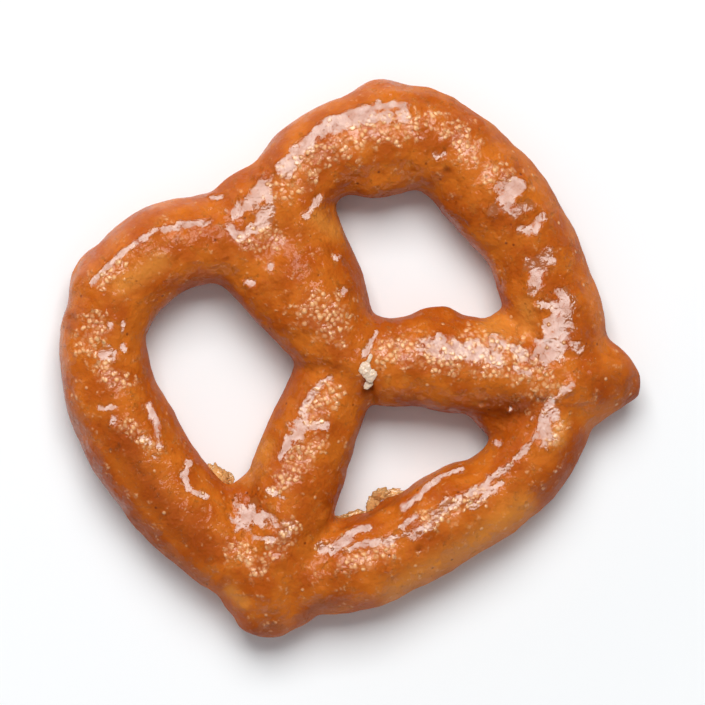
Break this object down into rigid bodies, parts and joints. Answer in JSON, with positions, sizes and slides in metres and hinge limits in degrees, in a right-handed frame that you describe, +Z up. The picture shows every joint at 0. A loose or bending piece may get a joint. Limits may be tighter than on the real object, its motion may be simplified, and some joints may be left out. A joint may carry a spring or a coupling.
{
  "type": "pretzel",
  "caption": "Small crunchy glazed pretzel lying on its baked side: a twisted strand with both ends pressed onto its base, under a glossy caramel glaze.",
  "frame": {"origin": "on the surface that the pretzel rests on, under the middle of its outline", "axes": "+X runs across the two humps towards the end that lies on top at the twist, +Y points to the notch between the humps, +Z points up from the flat baked side"},
  "size_m": [0.0442, 0.0389, 0.0077],
  "materials": {
    "glazed_crust": "golden brown baked crust under a clear glossy caramel glaze"
  },
  "bodies": {
    "root": {"pretzel": "glazed_crust"}
  },
  "joints": []
}
